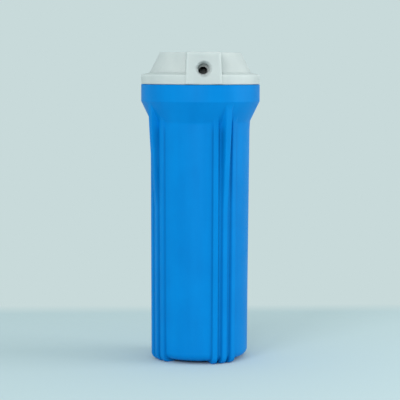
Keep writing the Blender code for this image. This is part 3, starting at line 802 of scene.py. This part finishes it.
# %% Model a block, a boss, a bore and a passage
def select_parts(piece, kind, chosen):
    """Selects the faces, edges or vertices that chosen picks, and enters edit mode on them."""
    deselect_all()
    bpy.context.view_layer.objects.active = piece
    piece.select_set(True)
    mesh = piece.data
    for part in (*mesh.vertices, *mesh.edges, *mesh.polygons):
        part.select = False
    bpy.context.tool_settings.mesh_select_mode = (False, kind == "edges", kind == "polygons")
    for part in getattr(mesh, kind):
        part.select = chosen(part)
        if part.select:
            for corner in part.vertices:
                mesh.vertices[corner].select = True
    bpy.ops.object.mode_set(mode="EDIT")


def port_block(side):
    depth = COLLAR_R - BLOCK_INNER_Y
    height = TOP_Z - BLOCK_BOTTOM_Z
    deselect_all()
    bpy.ops.mesh.primitive_cube_add(
        size=1,
        location=(0, side * (BLOCK_INNER_Y + depth / 2), BLOCK_BOTTOM_Z + height / 2),
        scale=(BLOCK_FOOT_WIDTH, depth, height),
    )
    block = bpy.context.object
    bpy.ops.object.transform_apply(location=True, rotation=True, scale=True)
    select_parts(block, "polygons", lambda face: face.normal.z > 0.9)
    bpy.ops.transform.resize(value=(BLOCK_TOP_WIDTH / BLOCK_FOOT_WIDTH, 1, 1))
    bpy.ops.object.mode_set(mode="OBJECT")
    corners = [vertex.co.copy() for vertex in block.data.vertices]

    def outer(edge):
        ends = [corners[i] for i in edge.vertices]
        front = all(end.y * side > COLLAR_R - MM for end in ends)
        above = all(end.z > TOP_Z - MM for end in ends)
        low = all(end.z < BLOCK_BOTTOM_Z + MM for end in ends)
        return (front or above) and not low

    select_parts(block, "edges", outer)
    bpy.ops.mesh.bevel(offset=BLOCK_EDGE, segments=5, affect="EDGES")
    bpy.ops.object.mode_set(mode="OBJECT")
    return block


def rod(start, end, radius, sides):
    """A closed rod from start to end, spun from its outline and then laid along its line."""
    start, end = Vector(start), Vector(end)
    length = (end - start).length
    corners = [(0.0, 0.0, 0), (radius, 0.0, 0), (radius, length, 0), (0.0, length, 0)]
    piece = turned("rod", rounded(corners), sides)
    piece.rotation_euler = (end - start).to_track_quat("Z", "Y").to_euler()
    piece.location = start
    bpy.ops.object.transform_apply(location=True, rotation=True, scale=True)
    return piece


def tapped_bore(side):
    """A plug with a pipe thread and a conical mouth; side is -1 for the inlet."""
    corners = [
        (0.0, PORT_DEPTH, 0),
        (PORT_R, PORT_DEPTH, 0),
        (PORT_R, PORT_MOUTH_DEPTH, 0),
        (PORT_MOUTH_R, 0.0, 0),
        (PORT_MOUTH_R + OVERLAP, -OVERLAP, 0),
        (0.0, -OVERLAP, 0),
    ]
    outline = rounded(corners)
    line = [outline[0], *divided(outline[1:4], PIPE_RING), *outline[4:]]
    plug = turned("plug", line, 72)
    points = vertices_of(plug)
    radius = np.hypot(points[:, 0], points[:, 1])
    angle = np.arctan2(points[:, 1], points[:, 0])
    deep = points[:, 2]
    turns = deep / PIPE_PITCH - angle / (2 * math.pi)
    wave = 1 - 2 * np.abs(turns - np.round(turns))
    fade = ease((PORT_DEPTH - deep) / PIPE_RUN_OUT) * ease(deep / PIPE_LEAD_IN)
    fade = fade * (radius > PORT_R - ON_WALL)
    flank = ease((wave - PIPE_CREST) / (1 - 2 * PIPE_CREST))
    taper = PIPE_TAPER * np.clip(deep / PORT_DEPTH, 0, 1) * (radius > PORT_R / 2)
    cut = PIPE_THREAD * (flank - PIPE_MIDDLE) * fade - taper
    points[:, :2] *= (1 + cut / np.maximum(radius, MM))[:, None]
    move_vertices(plug, points)
    plug.rotation_euler = Vector((0, -side, 0)).to_track_quat("Z", "Y").to_euler()
    plug.location = (0.0, side * COLLAR_R, PORT_Z)
    bpy.ops.object.transform_apply(location=True, rotation=True, scale=True)
    return plug


# %% Put the cap together
def make_cap():
    cap = cap_body()
    for side in (-1, 1):
        join_or_cut(cap, port_block(side), "UNION")
    pipe_start = (0, WELL_BORE_R + 2 * OVERLAP, PASSAGE_Z)
    pipe_end = (0, BLOCK_INNER_Y + 2 * OVERLAP, PASSAGE_Z)
    join_or_cut(cap, rod(pipe_start, pipe_end, PIPE_R, 32), "UNION")
    pilots = [(x, y) for x in (-PILOT_X, PILOT_X) for y in (-PILOT_Y, PILOT_Y)]
    for x, y in pilots:
        boss = rod((x, y, PILOT_BOSS_Z), (x, y, CEILING_Z + 2 * OVERLAP), PILOT_BOSS_R, 32)
        join_or_cut(cap, boss, "UNION")
    start_y = COLLAR_R - PORT_DEPTH + OVERLAP
    for side, end_y in ((-1, BLOCK_INNER_Y - WALL), (1, WELL_BORE_R - 2 * OVERLAP)):
        join_or_cut(cap, tapped_bore(side), "DIFFERENCE")
        passage = rod((0, side * start_y, PASSAGE_Z), (0, side * end_y, PASSAGE_Z), PASSAGE_R, 48)
        join_or_cut(cap, passage, "DIFFERENCE")
    for x, y in pilots:
        low, high = (x, y, DOME_TOP_Z - PILOT_DEPTH), (x, y, DOME_TOP_Z + OVERLAP)
        join_or_cut(cap, rod(low, high, PILOT_R, 24), "DIFFERENCE")
    return cap


def broad_and_flat(face):
    square = max(abs(face.normal.y), abs(face.normal.z)) > FLAT_NORMAL
    return square and face.area > FLAT_AREA


cap = make_cap()
put_on(cap, "cap", "cap", white_moulding, "cap", angle=30)
select_parts(cap, "polygons", broad_and_flat)
bpy.ops.mesh.faces_shade_flat()
bpy.ops.object.mode_set(mode="OBJECT")
apply_modifier(cap, "WEIGHTED_NORMAL", keep_sharp=True, weight=100)

# %% [markdown]
# ## The O-ring
# The O-ring lies on a ledge in the bowl, and the skirt presses on it. A torus primitive would
# do for a loose ring, but one in service is a little flat above and below. Its section is
# drawn as a squashed circle and spun.


# %% Spin the O-ring's flattened section
RING_CORNERS = 28
RING_FLAT = 0.93  # the share of the section's half height where the flats start


def make_o_ring():
    middle_z = (RING_LOW_Z + RING_HIGH_Z) / 2
    half = (RING_HIGH_Z - RING_LOW_Z) / 2
    outer_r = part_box("sump_o_ring")[1].x
    line = []
    for corner in range(RING_CORNERS):
        angle = 2 * math.pi * corner / RING_CORNERS
        lift = max(-RING_FLAT, min(RING_FLAT, math.sin(angle)))
        line.append(Vector((outer_r - half + half * math.cos(angle), middle_z + half * lift)))
    return turned("o_ring", line, 160, closed=True)


put_on(make_o_ring(), "sump", "o_ring", black_rubber, "sump_o_ring", angle=60)

# %% [markdown]
# ## The cartridge's gaskets and end caps
# The element is a stack of simple things: two foam gaskets, two poured end caps with a raised
# lip, a perforated core, a folded sheet and a net. A gasket is cut from flat foam, and an end
# cap is cast in a round tray, so both are rings. Each is spun from a section that closes on
# itself, with small fillets where the foam or the vinyl is soft.

# %% Gaskets and end caps
GASKET_BORE_R = 14.5 * MM
BORE_INNER_R = 14.0 * MM
LIP_INNER_R = 30.9 * MM
DISC_DEPTH = 6.0 * MM


def ring_outline(corners):
    """Rounds the corners of an outline that closes on itself."""
    wrapped = [corners[-1], *corners, corners[0]]
    wrapped[0] = (*wrapped[0][:2], 0)
    wrapped[-1] = (*wrapped[-1][:2], 0)
    return rounded(wrapped)[1:-1]


def make_ring(name, corners, steps=112):
    return turned(name, ring_outline(corners), steps, closed=True)


def gasket_corners(node):
    low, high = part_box(node)
    return [
        (GASKET_BORE_R, high.z, 0.3 * MM),
        (high.x, high.z, 0.4 * MM),
        (high.x, low.z, 0.4 * MM),
        (GASKET_BORE_R, low.z, 0.3 * MM),
    ]


def end_cap_corners(node, inward):
    low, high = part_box(node)
    outer_z, lip_z = (low.z, high.z) if inward > 0 else (high.z, low.z)
    inner_z = outer_z + inward * DISC_DEPTH
    return [
        (BORE_INNER_R, outer_z, 0.5 * MM),
        (high.x, outer_z, MM),
        (high.x, lip_z, 0.4 * MM),
        (LIP_INNER_R, lip_z, 0.3 * MM),
        (LIP_INNER_R, inner_z, 0.2 * MM),
        (BORE_INNER_R, inner_z, 0.2 * MM),
    ]


for node in ("top_gasket", "bottom_gasket"):
    ring = make_ring(node + "_foam", gasket_corners(node))
    put_on(ring, "cartridge", "gasket", grey_foam, node)
for node, inward in (("cartridge_top_end_cap", -1), ("cartridge_bottom_end_cap", 1)):
    disc = make_ring(node + "_pour", end_cap_corners(node, inward))
    put_on(disc, "cartridge", "end_cap", blue_plastisol, node)

# %% [markdown]
# ## The folded sheet
# A machine scores and folds one long sheet, closes it into a ring and sets its ends in the
# end caps. Folding a flat mesh would take many steps. A circle of many vertices does as well:
# it is moved in and out into rounded folds, extruded to its height and given its thickness.

# %% Fold a circle and raise it
PLEATS = 30
PLEAT_INNER_R = 17.2 * MM
PLEAT_OUTER_R = 29.4 * MM
SHEET = 0.5 * MM
POINTS_PER_PLEAT = 16
PLEAT_ROWS = 12
FOLD_CLIP = 1.25  # above 1, the folds' turns are a little flat
FOLD_ROUND = 0.35  # the share of a sine in the folds' otherwise straight sides


def make_pleats():
    deselect_all()
    middle_r = (PLEAT_INNER_R + PLEAT_OUTER_R) / 2
    bpy.ops.mesh.primitive_circle_add(
        vertices=PLEATS * POINTS_PER_PLEAT, radius=middle_r, location=(0, 0, MEDIA_LOW_Z)
    )
    pleats = bpy.context.object
    pleats.name = "pleats"
    bpy.ops.object.transform_apply(location=True, rotation=True, scale=True)
    points = vertices_of(pleats)
    angle = np.arctan2(points[:, 1], points[:, 0])
    fold = np.mod(angle * PLEATS / (2 * math.pi), 1.0)
    wave = np.clip((np.abs(2 * fold - 1) - 0.5) * FOLD_CLIP, -0.5, 0.5)
    wave = np.sin(wave * math.pi) * FOLD_ROUND + wave * (1 - FOLD_ROUND)
    radius = middle_r + (PLEAT_OUTER_R - PLEAT_INNER_R) / 2 * wave / np.abs(wave).max()
    points[:, 0] = radius * np.cos(angle)
    points[:, 1] = radius * np.sin(angle)
    move_vertices(pleats, points)
    bpy.ops.object.mode_set(mode="EDIT")
    bpy.ops.mesh.select_all(action="SELECT")
    lift = {"value": (0, 0, (MEDIA_HIGH_Z - MEDIA_LOW_Z) / PLEAT_ROWS)}
    for row in range(PLEAT_ROWS):
        bpy.ops.mesh.extrude_region_move(TRANSFORM_OT_translate=lift)
    bpy.ops.object.mode_set(mode="OBJECT")
    apply_modifier(pleats, "SOLIDIFY", thickness=SHEET, offset=0.0)
    return pleats


put_on(make_pleats(), "cartridge", "media", polyester, "pleated_media", angle=60)

# %% [markdown]
# ## The net
# The net is extruded by two rings of nozzles that turn against each other, so half of its
# strands wind to the right and half to the left. One strand of each hand is spun round the
# axis and raised along its helix, and the others are copies of it, turned into their places.

# %% Spin two strands and copy them
NET_R = 30.3 * MM
STRAND_R = 0.3 * MM
STRANDS = 30
STRAND_TURN = math.radians(170)
STRAND_STEPS = 30
STRAND_SINK = 0.8 * STRAND_R  # how far the left-hand strands are pressed into the others


def make_strand(hand):
    """One strand; hand is 1 for a right-hand helix and -1 for a left-hand one."""
    deselect_all()
    radius = NET_R - (STRAND_SINK if hand < 0 else 0.0)
    low_z = MEDIA_LOW_Z + STRAND_R
    bpy.ops.mesh.primitive_circle_add(
        vertices=6, radius=STRAND_R, fill_type="NGON",
        location=(radius, 0, low_z), rotation=(math.radians(90), 0, 0),
    )
    strand = bpy.context.object
    bpy.ops.object.transform_apply(location=True, rotation=True, scale=True)
    bpy.ops.object.mode_set(mode="EDIT")
    bpy.ops.mesh.select_all(action="SELECT")
    bpy.ops.mesh.spin(
        steps=STRAND_STEPS, angle=hand * STRAND_TURN, center=(0, 0, 0), axis=(0, 0, 1)
    )
    bpy.ops.object.mode_set(mode="OBJECT")
    points = vertices_of(strand)
    along = np.abs(np.arctan2(points[:, 1], points[:, 0]))
    points[:, 2] += along / STRAND_TURN * (MEDIA_HIGH_Z - MEDIA_LOW_Z - 2 * STRAND_R)
    move_vertices(strand, points)
    return strand


def make_net():
    strands = []
    for hand in (1, -1):
        first = make_strand(hand)
        strands.append(first)
        for place in range(1, STRANDS):
            deselect_all()
            copy = first.copy()
            copy.data = first.data.copy()
            bpy.context.scene.collection.objects.link(copy)
            copy.rotation_euler = (0, 0, 2 * math.pi * place / STRANDS)
            strands.append(copy)
    deselect_all()
    for strand in strands:
        strand.select_set(True)
    bpy.context.view_layer.objects.active = strands[0]
    bpy.ops.object.transform_apply(location=True, rotation=True, scale=True)
    bpy.ops.object.join()
    net = bpy.context.object
    net.name = "net"
    bpy.ops.object.mode_set(mode="EDIT")
    bpy.ops.mesh.select_all(action="SELECT")
    bpy.ops.mesh.normals_make_consistent(inside=False)
    bpy.ops.object.mode_set(mode="OBJECT")
    return net


put_on(make_net(), "cartridge", "netting", net_plastic, "cartridge_netting", angle=60)

# %% [markdown]
# ## The core
# The perforated core stands inside the pleats, where only its windows' edges could ever show.
# Its solid already has the right shape, so it stays and only gets its finish.

# %% Finish the core
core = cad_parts["cartridge_core"]
core.data.materials.clear()
core.data.materials.append(core_plastic)
print("core keeps its solid,", len(core.data.polygons), "faces")

# %% [markdown]
# ## The studio
# The housing stands on a plain pale table before a plain wall. A wall close behind would hide
# the housing from the other side, so the wall is only painted: beyond a soft-edged square the
# floor glows in the same tone as the sky, and no horizon shows from any side.

# %% Camera
CAMERA_TURN = -3.2  # degrees, as are the tilt and the roll
CAMERA_TILT = 4.9
CAMERA_ROLL = -0.18
CAMERA_DISTANCE = 1.513
CAMERA_HEIGHT = 0.284
CAMERA_SHIFT = -0.00125
FOCAL_LENGTH = 139.95

camera_data = bpy.data.cameras.new("camera")
camera = bpy.data.objects.new("camera", camera_data)
bpy.context.scene.collection.objects.link(camera)
turn = math.radians(CAMERA_TURN)
camera.location = (
    CAMERA_DISTANCE * math.sin(turn),
    -CAMERA_DISTANCE * math.cos(turn),
    CAMERA_HEIGHT,
)
camera.rotation_euler = (math.radians(90 - CAMERA_TILT), math.radians(CAMERA_ROLL), turn)
camera_data.sensor_width = 36.0
camera_data.lens = FOCAL_LENGTH
camera_data.shift_x = CAMERA_SHIFT
camera_data.clip_end = 50.0
bpy.context.scene.camera = camera
print("camera at", [round(value, 3) for value in camera.location])

# %% Table, sky and lamps
SKY = (0.578, 0.700, 0.702)
TABLE = (0.595, 0.70, 0.725)
SKY_LIGHT = 0.95  # how much of the sky's tone falls on things as light
TABLE_HALF = 0.33
TABLE_FADE = 0.06
FLOOR_WIDTH = 40.0
AIM = Vector((0, 0, 0.15))

world = bpy.data.worlds.new("sky")
bpy.context.scene.world = world
world.use_nodes = True
sky = world.node_tree.nodes["Background"]
sky.inputs["Color"].default_value = (*SKY, 1.0)
seen = world.node_tree.nodes.new("ShaderNodeLightPath").outputs["Is Camera Ray"]
strength = SKY_LIGHT + (1 - SKY_LIGHT) * Signal(world.node_tree, seen)
world.node_tree.links.new(strength.socket, sky.inputs["Strength"])

deselect_all()
bpy.ops.mesh.primitive_plane_add(size=FLOOR_WIDTH)
table = bpy.context.object
table.name = "table"
surface = Finish("table_top", Base_Color=(*TABLE, 1.0), Roughness=0.9)
split = surface.tree.nodes.new("ShaderNodeSeparateXYZ")
surface.tree.links.new(surface.place().socket, split.inputs[0])
away_x, away_y = (
    surface.node(
        "ShaderNodeMath",
        {0: Signal(surface.tree, split.outputs[axis])},
        {"operation": "ABSOLUTE"},
    )
    for axis in (0, 1)
)
away = surface.node("ShaderNodeMath", {0: away_x, 1: away_y}, {"operation": "MAXIMUM"})
far = surface.between(away, TABLE_HALF - TABLE_FADE, TABLE_HALF)
glow = surface.node("ShaderNodeEmission", {"Color": (*SKY, 1.0), "Strength": 1.0})
mixed = surface.tree.nodes.new("ShaderNodeMixShader")
surface.tree.links.new(far.socket, mixed.inputs[0])
surface.tree.links.new(surface.shader.outputs[0], mixed.inputs[1])
surface.tree.links.new(glow.socket, mixed.inputs[2])
output = surface.tree.nodes["Material Output"]
surface.tree.links.new(mixed.outputs[0], output.inputs["Surface"])
table.data.materials.append(surface.material)


def lamp(name, place, watts, size):
    """A square soft lamp that points at the middle of the housing."""
    data = bpy.data.lights.new(name, "AREA")
    data.energy = watts
    data.size = size
    holder = bpy.data.objects.new(name, data)
    bpy.context.scene.collection.objects.link(holder)
    holder.location = place
    holder.rotation_euler = (AIM - Vector(place)).to_track_quat("-Z", "Y").to_euler()


lamp("key", (-0.8, -1.4, 1.0), 8.2, 0.6)
lamp("front", (-0.28, -1.85, 0.64), 7.5, 0.4)
lamp("side", (1.1, -0.2, 0.5), 5.5, 0.7)
bpy.context.scene.view_settings.view_transform = "Standard"
print("studio lit by", len(bpy.data.lights), "lamps")

# %% [markdown]
# ## The last step
# Last, the scene is brought up to date. The new pieces have to stay inside the solid
# model's box.

# %% Bring the scene up to date
bpy.context.view_layer.update()
